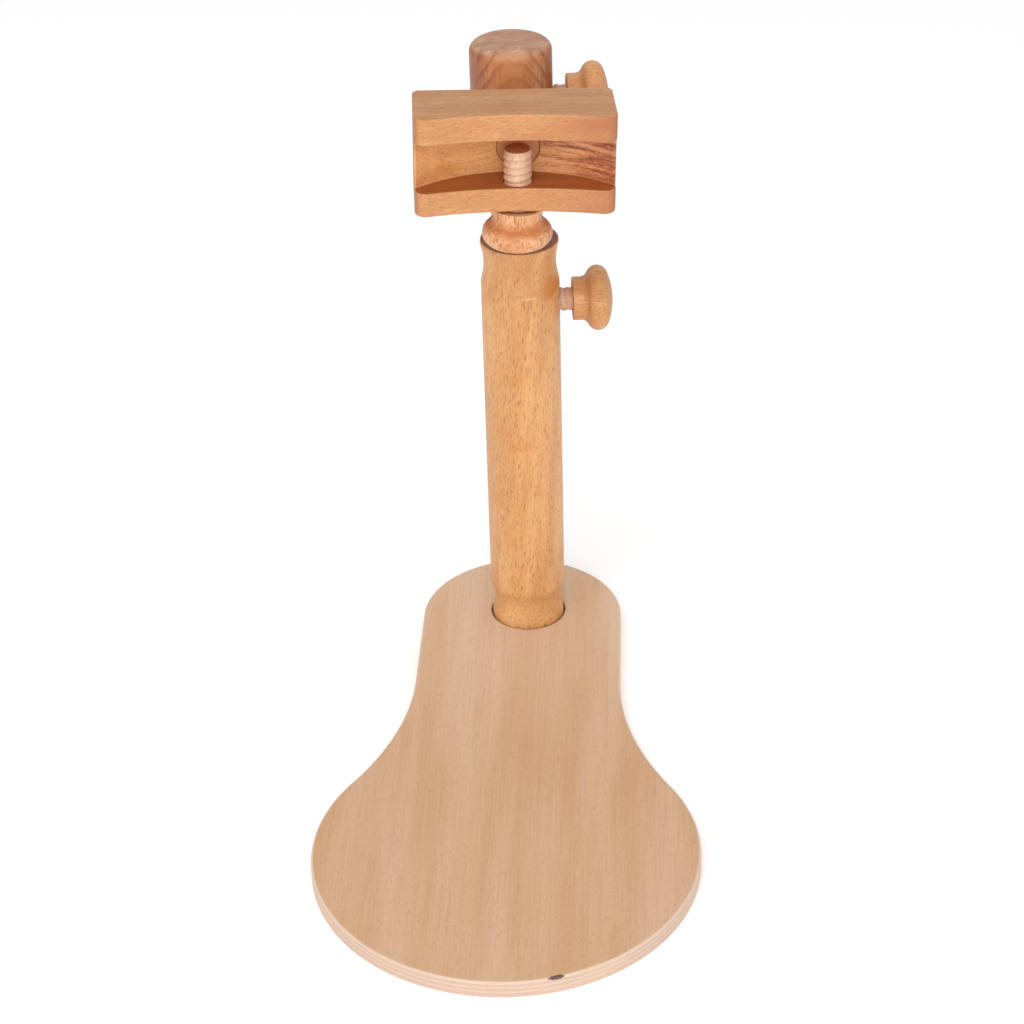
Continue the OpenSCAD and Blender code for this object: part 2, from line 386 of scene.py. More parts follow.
# ---- column, rod, head and arm

# Coves as (height, depth, radius): the upper one is measured down from the rim
TOP_COVE = (11, 1.5, 30)
FOOT_COVE = (18, 2, 18)
FOOT_BELOW = 6
COVE_BLEND = 2.2
SLICE = 0.5
PLAIN_STEP = 8
FOOT_SLICES = 70
TOP_SLICES = 60
RIM_ROUND = 1.0
BORE_FLOOR = 50
ROD_PLAY = 1.1
PILOT_R = 2.55
PILOT_END = 39
FOOT_R = 17.3
DOWEL_ROUND = 0.8
HOLE_PLAY = 0.08


def soften(values, spread):
    """Averages a row of values with a bell-shaped weight."""
    reach = int(3 * spread)
    weight = np.exp(-0.5 * (np.arange(-reach, reach + 1) / spread) ** 2)
    padded = np.pad(values, reach, mode="edge")
    return np.convolve(padded, weight / weight.sum(), mode="valid")


def column():
    """Column with its two coves, the bore for the rod and the plain hole for the locking screw."""
    low, high = turned_box("column")
    foot_z, rim_z, radius = low[2], high[2], (high[0] - low[0]) / 2
    height = np.arange(foot_z + RIM_ROUND, rim_z - RIM_ROUND, SLICE)
    width = np.full(len(height), radius)
    for z, depth, r in ((rim_z - TOP_COVE[0], *TOP_COVE[1:]), FOOT_COVE):
        inside = np.maximum(r * r - (height - z) ** 2, 0)
        width = np.minimum(width, radius - depth + r - np.sqrt(inside))
    width = np.where(height < FOOT_COVE[0] - FOOT_BELOW, np.minimum(width, FOOT_R), width)
    width = soften(width, COVE_BLEND)

    # The plain part between the coves needs fewer slices
    keep = np.zeros(len(height), bool)
    keep[::PLAIN_STEP] = True
    keep[:FOOT_SLICES] = True
    keep[-TOP_SLICES:] = True
    side = [(r, z) for r, z, k in zip(width, height, keep) if k]
    rim = arc((width[-1] - RIM_ROUND, rim_z - RIM_ROUND), RIM_ROUND, 10, 90, 5)
    bore = across("lift_rod", TURN, 0)[1] + ROD_PLAY
    inner = [(bore + MOUTH, rim_z), (bore + 0.09, rim_z - 0.09), (bore, rim_z - MOUTH)]
    inner += line((bore, rim_z - MOUTH), (bore, BORE_FLOOR), 24)
    bottom = [(0, PILOT_END), (PILOT_R, PILOT_END), (PILOT_R, foot_z), (FOOT_R - 0.6, foot_z)]
    bottom += [(FOOT_R - 0.2, foot_z + 0.15), (FOOT_R, foot_z + 0.6)]
    post = lathe("post", [*bottom, *side, *rim, *inner, (0, BORE_FLOOR)], 144, TURN)
    screw_z, screw_r = across("height_screw", TURN, 2)
    hole_r, reach = screw_r + HOLE_PLAY, 2 * radius
    place = TURN @ at(0, 0, screw_z) @ ALONG_X
    take_out(post, lathe("cutter", [(0, 0), (hole_r, 0), (hole_r, reach), (0, reach)], 64, place))
    return post


def dowel(name, node, place, length):
    """Rod of a node's radius with softened ends."""
    radius = (turned_box(node)[1] - turned_box(node)[0]).min() / 2
    low = arc((radius - DOWEL_ROUND, DOWEL_ROUND), DOWEL_ROUND, -90, 0, 4)
    high = arc((radius - DOWEL_ROUND, length - DOWEL_ROUND), DOWEL_ROUND, 0, 90, 4)
    side = [*low, *line(low[-1], high[0], 30), *high[1:]]
    profile = [(0, 0), (radius * 0.5, 0), *side, (radius * 0.5, length), (0, length)]
    return lathe(name, profile, 96, place)


def rod():
    """Rod that the head stands on."""
    low, high = turned_box("lift_rod")
    place = TURN @ at(middle("lift_rod")[0], 0, low[2])
    return dowel("post_rod", "lift_rod", place, high[2] - low[2])


def arm():
    """Cross arm between the head and the block."""
    low, high = turned_box("arm")
    x, _, z = middle("arm")
    return dowel("cross_arm", "arm", TURN @ at(x, low[1], z) @ ALONG_Y, high[1] - low[1])


HEAD_ROUND = 4
SOCKET_DEPTH = 30
GLUE_PLAY = 0.05
ARM_PLAY = 0.3
HEAD_MOUTH = 0.5
HEAD_STEP = 0.55


def head():
    """Head with rounded edges, and holes for the rod, the arm and the arm's screw."""
    place = TURN @ at(middle("head")[0], 0, 0)
    low, high = turned_box("head", place)
    rod_x, rod_r = across("lift_rod", place, 0)
    arm_z, arm_r = across("arm", place, 2)
    screw_z, screw_r = across("arm_screw", place, 2)

    def field(x, y, z):
        body = both(HEAD_ROUND, np.hypot(x, y) - high[0], z - high[2], low[2] - z)
        socket = both(0.2, np.hypot(x - rod_x, y) - rod_r - GLUE_PLAY, z - low[2] - SOCKET_DEPTH)
        cross = np.hypot(x, z - arm_z) - arm_r - ARM_PLAY
        side = both(0.2, np.hypot(y, z - screw_z) - screw_r - HOLE_PLAY, -x)
        return both(HEAD_MOUTH, body, -socket, -cross, -side)

    points, quads = surface_of(field, low - 1.3, high + 1.3, HEAD_STEP)
    return make_object("post_head", points, quads, place)


# ---- clamp block

FRONT_R = 160
GAP_R = 62.8
WALL_BACK = 17.7
JAW_T = 11.8
JAW_GAP = 21
CORNER_R = 6
BACK_R = 3
EDGE_R = 0.9
BLOCK_MOUTH = 0.35
BLOCK_STEP = 0.5


def clamp_block():
    """Block with a hollow front, the gap for the hoop, and holes for the arm and the screw."""
    low, high = turned_box("clamp_block", BLOCK_PLACE)
    half_w, middle_x = (high[0] - low[0]) / 2, (high[0] + low[0]) / 2
    front_y = low[1] + FRONT_R - math.sqrt(FRONT_R**2 - half_w**2)
    wall_y = front_y + WALL_BACK
    lip_z = high[2] - JAW_T - JAW_GAP
    arm_r = turned_box("arm")[1][2] - middle("arm")[2]
    screw_x, screw_r = across("clamp_screw", BLOCK_PLACE, 0)
    screw_y = middle("clamp_screw", BLOCK_PLACE)[1]

    def field(x, y, z):
        aside = x - middle_x
        hollow = FRONT_R - np.hypot(aside, y - front_y + FRONT_R)
        plan = both(CORNER_R, aside - half_w, -aside - half_w, hollow)
        plan = both(BACK_R, plan, y - high[1])
        body = both(EDGE_R, plan, z - high[2], low[2] - z)
        wall = np.hypot(aside, y - wall_y + GAP_R) - GAP_R
        gap = both(0.5, wall, z - high[2] + JAW_T, lip_z - z)
        arm_hole = np.hypot(x, z) - arm_r - GLUE_PLAY
        screw_hole = np.hypot(x - screw_x, y - screw_y) - screw_r - HOLE_PLAY
        screw_hole = both(0.3, screw_hole, z - lip_z - 3)
        return both(BLOCK_MOUTH, both(EDGE_R, body, -gap), -arm_hole, -screw_hole)

    points, quads = surface_of(field, low - 1.1, high + 1.1, BLOCK_STEP)
    return make_object("hoop_block", points, quads, BLOCK_PLACE)


# ---- wooden screws and knobs

PITCH = 3.2
THREAD_DEPTH = 0.75
CREST_FORM = 0.55
SCREW_SIDES = 72
BLANK_L = 10
BLANK_SIGHT = 3
BLANK_STEP = 0.3
TIP_CHAMFER = 0.8

# Where the helix starts, in turns
LOCK_START = 0.2
CLAMP_START = 0.45


def crest(phase):
    """Height of the thread from 0 to 1: broad round crests and narrow roots."""
    return (0.5 + 0.5 * math.cos(TAU * phase)) ** CREST_FORM


def thread_radius(z, turn, radius, length, start):
    """Radius of a wooden screw at a height above its tip and at a part of a full turn."""
    blank_r = radius - BLANK_STEP
    r = radius - THREAD_DEPTH * (1 - crest(z / PITCH - turn + start))
    fade = min(max((z - (length - BLANK_L - BLANK_SIGHT)) / (0.6 * PITCH), 0), 1)
    r = r * (1 - fade) + blank_r * fade
    up = TIP_CHAMFER - min(z, TIP_CHAMFER)
    r = min(r, radius - TIP_CHAMFER + math.sqrt(max(TIP_CHAMFER**2 - up**2, 0)))
    return min(r, blank_r - 0.3 + (length - z) * 1.2) if length - z < 0.25 else r


def thread(name, radius, length, start, place):
    """Right-hand screw along +Z from its tip: thread first, then the blank part."""
    heights = [0.0, 0.12, 0.3, 0.55, *np.arange(TIP_CHAMFER, length - 0.3, PITCH / 24)]
    heights += [length - 0.25, length - 0.08, length]
    rows = winding(heights, SCREW_SIDES, lambda z, t: thread_radius(z, t, radius, length, start))
    inner = [[(x * s, y * s, 0.0) for x, y, _ in rows[0]] for s in (0.35, 0.75)]
    points, faces = skin([*inner, *rows], (0, 0, 0), (0, 0, length))
    return make_object(name, points, faces, place)


def wood_screw(name, node, axis, place, start, seen_from=TURN):
    """Wooden screw of a node's own size. The axis is the frame's axis that it lies along."""
    low, high = turned_box(node, seen_from)
    length = high[axis] - low[axis]
    radius = (high[(axis + 1) % 3] - low[(axis + 1) % 3]) / 2
    return thread(name, radius, length, start, place)


NECK_R = 10
NECK_L = 3.8
NECK_ROUND = 0.5
RIM_R = 5
RIM_L = 11.5


def knob_profile(radius, length, socket_r):
    """Half section of a knob along +Z: socket, neck, hollow sweep, round rim and domed face."""
    rim_x = radius - RIM_R
    run, rise = rim_x - NECK_R, RIM_L - NECK_L
    cove_r = (run**2 + rise**2 - RIM_R**2) / (2 * (RIM_R + run))
    cove = (NECK_R + cove_r, NECK_L)
    turn_back = math.degrees(math.atan2(RIM_L - cove[1], rim_x - cove[0]))
    dome_top = length - RIM_L
    dome_r = (rim_x**2 + dome_top**2 - RIM_R**2) / (2 * (dome_top - RIM_R))
    dome_z = length - dome_r
    dome_edge = math.degrees(math.atan2(RIM_L - dome_z, rim_x))
    floor = BLANK_L + 0.3
    socket = [(0, floor), (socket_r, floor), (socket_r, 0.4), (socket_r + 0.3, 0)]
    neck = [(NECK_R - 1.5, 0), *arc((NECK_R - NECK_ROUND, NECK_ROUND), NECK_ROUND, -90, 0, 4)]
    neck += line((NECK_R, NECK_ROUND), (NECK_R, NECK_L), 5)
    sweep = arc(cove, cove_r, 180, turn_back, 14)[1:]
    rim = arc((rim_x, RIM_L), RIM_R, turn_back - 180, dome_edge, 22)[1:]
    dome = arc((0, dome_z), dome_r, dome_edge, 90, 18)[1:-1]
    return [*socket, *neck, *sweep, *rim, *dome, (0, length)]


def knob(name, node, axis, place, seen_from=TURN):
    """Turned knob of a node's own size, with a socket for its screw."""
    low, high = turned_box(node, seen_from)
    side = (axis + 1) % 3
    screw_r = across(node.replace("knob", "screw"), seen_from, side)[1]
    socket_r = screw_r - BLANK_STEP + GLUE_PLAY
    radius, length = (high[side] - low[side]) / 2, high[axis] - low[axis]
    return lathe(name, knob_profile(radius, length, socket_r), 128, place)


def lock_screw(which):
    """One of the two locking screws with its knob, lying along the turned +X axis."""
    low, knob_low = turned_box(which + "_screw")[0], turned_box(which + "_knob")[0]
    z = middle(which + "_knob")[2]
    screw_place, knob_place = (TURN @ at(x, 0, z) @ ALONG_X for x in (low[0], knob_low[0]))
    screw = wood_screw(which + "_thread", which + "_screw", 0, screw_place, LOCK_START)
    grip = knob(which + "_grip", which + "_knob", 0, knob_place)
    return screw, grip


def clamp_screw():
    """Clamping screw with its knob, pointing down."""
    x, y, _ = middle("clamp_screw", BLOCK_PLACE)
    tip_z, neck_z = (turned_box("clamp_" + part, BLOCK_PLACE)[1][2] for part in ("screw", "knob"))
    screw_place, knob_place = (BLOCK_PLACE @ at(x, y, z) @ DOWN for z in (tip_z, neck_z))
    screw = wood_screw("clamp_thread", "clamp_screw", 2, screw_place, CLAMP_START, BLOCK_PLACE)
    grip = knob("clamp_grip", "clamp_knob", 2, knob_place, BLOCK_PLACE)
    return screw, grip


STEEL_R = 2.5
STEEL_HEAD_R = 4.6
STEEL_HEAD_L = 2.6
STEEL_PITCH = 2.0
STEEL_DEPTH = 0.75
STEEL_TAPER = 6
STEEL_SIDES = 48
HEAD_EDGE = 0.15
DRIVE_W = 1.0
DRIVE_L = 5.0
DRIVE_DEPTH = 1.8


def steel_radius(z, turn, length):
    """Radius of the steel screw at a height above its head and at a part of a full turn."""
    if z == 0:
        return STEEL_HEAD_R - HEAD_EDGE
    if z <= STEEL_HEAD_L:
        return STEEL_HEAD_R + (z - HEAD_EDGE) * (STEEL_R - STEEL_HEAD_R) / STEEL_HEAD_L
    tooth = max(0, 1 - 3 * abs((z / STEEL_PITCH - turn) % 1 - 0.5)) if z > 4.6 else 0.6
    return (STEEL_R - STEEL_DEPTH * (1 - tooth)) * min(1, (length - z) / STEEL_TAPER)


def drive_slot(place):
    """Box that cuts one slot of the cross into the head."""
    half_l, half_w = DRIVE_L / 2, DRIVE_W / 2
    plan = [(-half_l, -half_w), (half_l, -half_w), (half_l, half_w), (-half_l, half_w)]
    corners = [(x, y, z) for z in (-1, DRIVE_DEPTH) for x, y in plan]
    sides = [(3, 2, 1, 0), (4, 5, 6, 7), (0, 1, 5, 4), (1, 2, 6, 5), (2, 3, 7, 6), (3, 0, 4, 7)]
    return make_object("cutter", corners, sides, place)


def board_screw():
    """Steel screw under the board, with its countersunk head and crossed slots."""
    low, high = turned_box("foot_screw")
    length = high[2] - low[2]
    shank = np.arange(5.0, length - 0.4, STEEL_PITCH / 10)
    heights = [0, HEAD_EDGE, STEEL_HEAD_L, 4.5, *shank, length - 0.3]
    rows = winding(heights, STEEL_SIDES, lambda z, t: steel_radius(z, t, length))
    points, faces = skin(rows, (0, 0, 0), (0, 0, length))
    place = TURN @ at(0, 0, low[2])
    screw = make_object("board_screw", points, faces, place)
    for angle in (0, 90):
        take_out(screw, drive_slot(place @ Matrix.Rotation(math.radians(angle), 4, "Z")))
    return screw


# ---- materials


def shade(red, green, blue):
    """Scene colour of a display colour given from 0 to 255."""
    def linear(c):
        c /= 255
        return c / 12.92 if c <= 0.04045 else ((c + 0.055) / 1.055) ** 2.4

    return (linear(red), linear(green), linear(blue), 1.0)


class Nodes:
    """Short calls for building the node tree of one material."""

    def __init__(self, name):
        self.material = bpy.data.materials.new(name)
        self.material.use_nodes = True
        self.tree = self.material.node_tree
        self.shader = self.tree.nodes["Principled BSDF"]

    def add(self, kind, inputs=(), **settings):
        node = self.tree.nodes.new("ShaderNode" + kind)
        for key, value in settings.items():
            setattr(node, key, value)
        for key, value in dict(inputs).items():
            self.put(node.inputs[key], value)
        return node

    def put(self, socket, value):
        if isinstance(value, bpy.types.NodeSocket):
            self.tree.links.new(value, socket)
        else:
            socket.default_value = value

    def math(self, operation, a, b=0.0):
        return self.add("Math", {0: a, 1: b}, operation=operation).outputs[0]

    def times(self, a, b):
        return self.math("MULTIPLY", a, b)

    def plus(self, a, b):
        return self.math("ADD", a, b)

    def minus(self, a, b):
        return self.math("SUBTRACT", a, b)

    def split(self, vector):
        return self.add("SeparateXYZ", {0: vector}).outputs

    def part(self, vector, index):
        return self.split(vector)[index]

    def vector(self, operation, inputs):
        return self.add("VectorMath", inputs, operation=operation).outputs[0]

    def measure(self, operation, inputs):
        return self.add("VectorMath", inputs, operation=operation).outputs["Value"]

    def length(self, vector):
        return self.measure("LENGTH", {0: vector})

    def upward(self, coord, low, high):
        return self.span(self.part(coord.outputs["Normal"], 2), low, high)

    def finished(self, inputs):
        for key, value in inputs.items():
            self.put(self.shader.inputs[key], value)
        return self.material

    def in_mm(self, coord):
        return self.scaled(coord.outputs["Object"], 1 / MM, 1 / MM, 1 / MM)

    def mix(self, share, a, b, blend="MIX"):
        inputs = {0: share, 6: a, 7: b}
        return self.add("Mix", inputs, data_type="RGBA", blend_type=blend).outputs[2]

    def span(self, value, low, high, to_low=0.0, to_high=1.0):
        inputs = {0: value, 1: low, 2: high, 3: to_low, 4: to_high}
        return self.add("MapRange", inputs, interpolation_type="SMOOTHSTEP").outputs[0]

    def scaled(self, vector, x, y, z):
        return self.vector("MULTIPLY", {0: vector, 1: (x, y, z)})

    def noise(self, vector, detail=2.0, roughness=0.5, distortion=0.0):
        inputs = {"Vector": vector, "Scale": 1.0, "Detail": detail}
        inputs.update({"Roughness": roughness, "Distortion": distortion})
        return self.add("TexNoise", inputs)

    def cloud(self, place, size, *settings):
        return self.noise(self.scaled(place, *size), *settings).outputs["Fac"]

    def bump(self, height, distance):
        inputs = {"Height": height, "Distance": distance * MM, "Strength": 1.0}
        return self.add("Bump", inputs).outputs[0]


def flecks(n, place, size, small, large):
    """Spots of varied size and strength, one in each cell."""
    inputs = {"Vector": n.scaled(place, *size), "Scale": 1.0, "Randomness": 1.0}
    cell = n.add("TexVoronoi", inputs, feature="F1")
    chance = n.add("SeparateColor", {0: cell.outputs["Color"]})
    reach = n.span(chance.outputs[0], 0.0, 1.0, small, large)
    spot = n.span(n.minus(cell.outputs["Distance"], reach), 0.06, -0.06)
    return n.times(spot, n.span(chance.outputs[1], 0.1, 0.9, 0.3, 1.0))


# Sizes of patterns are given as how many of them lie in a millimetre, across and along the grain
DRIFT_SIZE = (0.035, 0.035, 0.012)
LAYER_SIZE = (0.09, 0.09, 0.012)
LAYER_SWING = 1.6
FIBRE_SIZE = (2.6, 2.6, 0.10)
PORE_SIZE = (3.0, 3.0, 3.0)
END_FROM = (0.45, 0.95)
GLEAM = (1.12, 1.12, 1.10, 1)
WOOD_COLOURS = ("pale", "deep", "line", "dark", "blotch", "end", "end_dark")


def growth(n, place, look):
    """Broad tone, and layers of growth that show as lines where a surface cuts them."""
    tone = n.span(n.cloud(place, look["tone_size"], 2.0, 0.55), 0.36, 0.64)
    layer = n.measure("DOT_PRODUCT", {0: place, 1: look["layer_way"]})
    layer = n.math("DIVIDE", layer, look["layer_gap"])
    wander = n.cloud(place, LAYER_SIZE)
    layer = n.math("FRACT", n.plus(layer, n.times(wander, LAYER_SWING)))
    ring = n.times(n.span(layer, 0.55, 0.93), n.span(layer, 1.0, 0.94))
    return tone, n.times(ring, look["layer_depth"])


def fibres(n, place, look):
    """Fine fibres, the short dark flecks that beech has, and darker and paler streaks."""
    fibre = n.span(n.cloud(place, FIBRE_SIZE, 3.0, 0.6), 0.3, 0.7)
    wide, long = look["fleck"]
    coarse = flecks(n, place, (1 / wide, 1 / wide, 1 / long), 0.16, 0.36)
    fine = flecks(n, place, (1.8 / wide, 1.8 / wide, 1.5 / long), 0.14, 0.38)
    fleck = n.math("MAXIMUM", coarse, n.times(fine, 0.6))
    strand = n.cloud(place, (1.1 / wide, 1.1 / wide, 0.5 / long), 3.0, 0.6)
    return fibre, fleck, n.span(strand, 0.54, 0.70), n.span(strand, 0.46, 0.30)


def wood(name, look):
    """Oiled beech. The grain runs along the piece's own Z once look["turn"] has been applied."""
    n = Nodes(name)
    pale, deep, layers, dark, blotch, end_pale, end_dark = (shade(*look[k]) for k in WOOD_COLOURS)
    turn = tuple(math.radians(a) for a in look["turn"])
    coord = n.add("TexCoord")
    mapped = {"Vector": coord.outputs["Object"], "Location": look["seed"], "Rotation": turn}
    mapped["Scale"] = (1 / MM, 1 / MM, 1 / MM)
    place = n.add("Mapping", mapped).outputs[0]
    facing = {"Vector": coord.outputs["Normal"], "Rotation": turn}
    normal = n.add("Mapping", facing, vector_type="NORMAL").outputs[0]
    end = n.span(n.math("ABSOLUTE", n.part(normal, 2)), *END_FROM)

    # The fibres wander a little across the grain
    drift = n.noise(n.scaled(place, *DRIFT_SIZE), 1.0).outputs["Color"]
    drift = n.vector("SUBTRACT", {0: drift, 1: (0.5, 0.5, 0.5)})
    sway = look["sway"]
    place = n.vector("ADD", {0: place, 1: n.scaled(drift, sway, sway, 0)})

    tone, ring = growth(n, place, look)
    fibre, fleck, streak, gleam = fibres(n, place, look)
    colour = n.mix(tone, pale, deep)
    colour = n.mix(ring, colour, layers)
    colour = n.mix(n.times(fibre, look["fibre"]), colour, layers)
    colour = n.mix(n.times(streak, look["streak"]), colour, layers)
    colour = n.mix(gleam, colour, GLEAM, "MULTIPLY")
    colour = n.mix(n.times(fleck, look["fleck_depth"]), colour, dark)
    spot = n.span(n.cloud(place, look["blotch_size"], 2.5, 0.6), 0.55, 0.72)
    colour = n.mix(n.times(spot, look["blotch_depth"]), colour, blotch)
    pores = n.cloud(place, PORE_SIZE, 3.0, 0.7)
    end_colour = n.mix(n.span(pores, 0.35, 0.7), end_pale, end_dark)
    colour = n.mix(n.times(end, look["end_depth"]), colour, end_colour)
    for paint in look["paint"]:
        colour = paint(n, coord, colour)

    rough = n.span(fibre, 0.0, 1.0, look["rough"] - 0.05, look["rough"] + 0.08)
    rough = n.plus(rough, n.times(end, 0.1))
    height = n.minus(n.times(fibre, 0.35), fleck)
    normal = n.bump(n.minus(height, n.times(streak, 0.4)), look["relief"])
    inputs = {"Base Color": colour, "Roughness": rough, "Specular IOR Level": look["specular"]}
    return n.finished({**inputs, "Normal": normal})


# Painted light: the board's faces get paler towards the tail, between these two places along Y,
# against the shade there
REAR_LIGHT_SPAN = (-150.0, 60.0)
REAR_PAINTED_LIGHT = (1.14, 1.26, 1.42, 1)
EDGE_TINT = (0.86, 0.86, 0.88, 1)
FLAW_X = (17.3, 25.0)
FLAW_DEEP = 1.5
FLAW_TALL = 1.1
FLAW_DARK = shade(80, 42, 34)
VENEER_PALE = shade(213, 176, 142)
VENEER_DEEP = shade(204, 160, 119)
VENEER_PATCH = shade(213, 173, 144)
VENEER_LINE = shade(184, 140, 101)
VENEER_FIBRE = shade(180, 136, 98)
VENEER_FLECK = shade(150, 106, 72)
PLY_LONG = (shade(233, 206, 184), shade(222, 186, 160))
PLY_END = (shade(226, 194, 170), shade(198, 158, 134))
PLY_GLUE = shade(166, 128, 110)
PLY_WARM = shade(236, 204, 174)
PLY_LOW_DARK = shade(150, 108, 84)


def flaw(n, place, colour):
    """Small dark knot that the front top edge of the board cuts through."""
    x, y, z = n.split(place)
    low, high = board_box()
    flaw_x, half_w = (FLAW_X[0] + FLAW_X[1]) / 2, (FLAW_X[1] - FLAW_X[0]) / 2
    seat_r, board_x = (high[0] - low[0]) / 2, (high[0] + low[0]) / 2
    front = low[1] + seat_r - math.sqrt(seat_r**2 - (flaw_x - board_x) ** 2)
    slope = (flaw_x - board_x) / seat_r
    beside = n.minus(x, flaw_x)
    aside = n.math("DIVIDE", beside, half_w)
    edge_y = n.plus(n.times(beside, slope), front)
    back = n.math("DIVIDE", n.minus(y, edge_y), FLAW_DEEP)
    down = n.math("DIVIDE", n.minus(high[2], z), FLAW_TALL)
    total = n.plus(n.times(aside, aside), n.times(back, back))
    total = n.plus(total, n.times(down, down))
    ragged = n.cloud(place, (0.8, 0.8, 0.8))
    total = n.plus(total, n.times(n.minus(ragged, 0.5), 0.9))
    return n.mix(n.span(total, 1.2, 0.7, 0.0, 0.9), colour, FLAW_DARK)


def veneer(n, place, fibre):
    """Colour of the board's faces, with painted light towards the tail, and the flecks in it."""
    tone = n.span(n.cloud(place, (0.055, 0.0045, 0.0)), 0.34, 0.66)
    patch = n.span(n.cloud(place, (0.02, 0.012, 0.0)), 0.35, 0.65)
    coarse = flecks(n, place, (1.9, 0.36, 0.0), 0.08, 0.34)
    fine = flecks(n, place, (3.2, 0.6, 0.0), 0.08, 0.38)
    fleck = n.math("MAXIMUM", coarse, n.times(fine, 0.6))
    strand = n.span(n.cloud(place, (1.1, 0.016, 0.0), 3.0, 0.6), 0.42, 0.72)
    face = n.mix(tone, VENEER_PALE, VENEER_DEEP)
    face = n.mix(n.times(patch, 0.4), face, VENEER_PATCH)
    face = n.mix(n.times(strand, 0.3), face, VENEER_LINE)
    face = n.mix(n.times(fibre, 0.14), face, VENEER_FIBRE)
    face = n.mix(n.times(fleck, 0.34), face, VENEER_FLECK)
    # Painted light: paler towards the tail, against the shade there
    rear_light = n.span(n.part(place, 1), *REAR_LIGHT_SPAN)
    return n.mix(rear_light, face, REAR_PAINTED_LIGHT, "MULTIPLY"), fleck


def ply_edge(n, place):
    """Colour and height of the board's edge: plies with their fibres along X, or end-on."""
    _, high = board_box()
    level = n.times(n.math("DIVIDE", n.part(place, 2), high[2]), PLY_COUNT)
    waver = n.cloud(place, (0.05, 0.05, 0.0), 1.0)
    level = n.plus(level, n.times(n.minus(waver, 0.5), 0.25))
    crossed = n.math("MODULO", n.math("FLOOR", level), 2.0)
    off_middle = n.math("ABSOLUTE", n.minus(n.math("FRACT", level), 0.5))
    glue = n.minus(1.0, n.span(off_middle, 0.5, 0.40))
    pores = n.span(n.cloud(place, (2.2, 2.2, 3.5), 3.0, 0.7), 0.42, 0.72)
    along = n.span(n.cloud(place, (0.15, 0.15, 3.0), 3.0, 0.6), 0.35, 0.7)
    edge_long = n.mix(n.times(along, 0.5), *PLY_LONG)
    edge = n.mix(crossed, edge_long, n.mix(n.times(pores, 0.6), *PLY_END))
    edge = n.mix(n.times(glue, 0.55), edge, PLY_GLUE)
    broad = n.cloud(place, (0.03, 0.03, 0.1), 1.0)
    edge = n.mix(n.span(broad, 0.4, 0.65, 0.0, 0.4), edge, PLY_WARM)
    # The edge gets darker towards its bottom
    edge = n.mix(n.span(n.part(place, 2), 0.9, 0.2, 0.0, 0.45), edge, PLY_LOW_DARK)
    height = n.times(n.plus(n.times(pores, crossed), glue), -1.0)
    return n.mix(1.0, edge, EDGE_TINT, "MULTIPLY"), height


def plywood():
    """Beech veneer faces with the grain along the board, and an edge of crossed plies."""
    n = Nodes("plywood")
    coord = n.add("TexCoord")
    place = n.in_mm(coord)
    flat = n.span(n.math("ABSOLUTE", n.part(coord.outputs["Normal"], 2)), 0.93, 0.995)
    fibre = n.span(n.cloud(place, (2.4, 0.12, 0.0), 3.0, 0.6), 0.3, 0.7)
    face, fleck = veneer(n, place, fibre)
    edge, edge_height = ply_edge(n, place)
    colour = flaw(n, place, n.mix(flat, edge, face))
    rough = n.span(fibre, 0.0, 1.0, 0.46, 0.58)
    height = n.mix(flat, edge_height, n.minus(n.times(fibre, 0.4), fleck))
    inputs = {"Base Color": colour, "Roughness": rough, "Specular IOR Level": 0.35}
    return n.finished({**inputs, "Normal": n.bump(height, 0.04)})


def steel():
    """Zinc-plated steel with fine turning marks round the screw's axis."""
    n = Nodes("steel")
    coord = n.add("TexCoord")
    place = n.in_mm(coord)
    out = n.length(n.scaled(place, 1, 1, 0))
    rings = n.math("SINE", n.times(out, 26.0))
    cloud = n.cloud(place, (0.8, 0.8, 0.8), 3.0, 0.6)
    colour = n.mix(cloud, shade(196, 197, 200), shade(164, 166, 172))
    rough = n.span(cloud, 0.2, 0.8, 0.26, 0.42)
    inputs = {"Base Color": colour, "Metallic": 1.0, "Roughness": rough}
    return n.finished({**inputs, "Normal": n.bump(rings, 0.004)})


# Paints are laid over a wood. Tints multiply its colour
# Painted shade on the lower jaw's top, under the gap
LIP_SHADE = (0.61, 0.365, 0.20, 1)
LIP_RISE = 1.2
# Painted shade on the top of the block
TOP_SHADE = (0.86, 0.86, 0.865, 1)
TOP_FROM = 8
WALL_WARM = (1.18, 1.17, 1.02, 1)
TORN = shade(126, 52, 32)
PINK = shade(234, 168, 130)
TORN_FROM = (4.0, 12.0)
RED = shade(170, 101, 68)
RED_REACH = 40


def shaded_seat(n, coord, colour):
    """Painted shade on the top of the lower jaw, under the upper jaw of the gap."""
    _, high = turned_box("clamp_block", BLOCK_PLACE)
    lip_z = (high[2] - JAW_T - JAW_GAP + LIP_RISE) * MM
    below = n.span(n.part(coord.outputs["Object"], 2), lip_z + 0.4 * MM, lip_z - 0.4 * MM)
    share = n.times(below, n.upward(coord, 0.72, 0.97))
    return n.mix(share, colour, LIP_SHADE, "MULTIPLY")


def shaded_top(n, coord, colour):
    """Painted shade: the top of the block is darker and greyer than its front, for how the light
    falls.
    """
    upward = n.upward(coord, 0.5, 0.95)
    share = n.times(upward, n.span(n.part(coord.outputs["Object"], 2), 0.0, TOP_FROM * MM))
    return n.mix(share, colour, TOP_SHADE, "MULTIPLY")


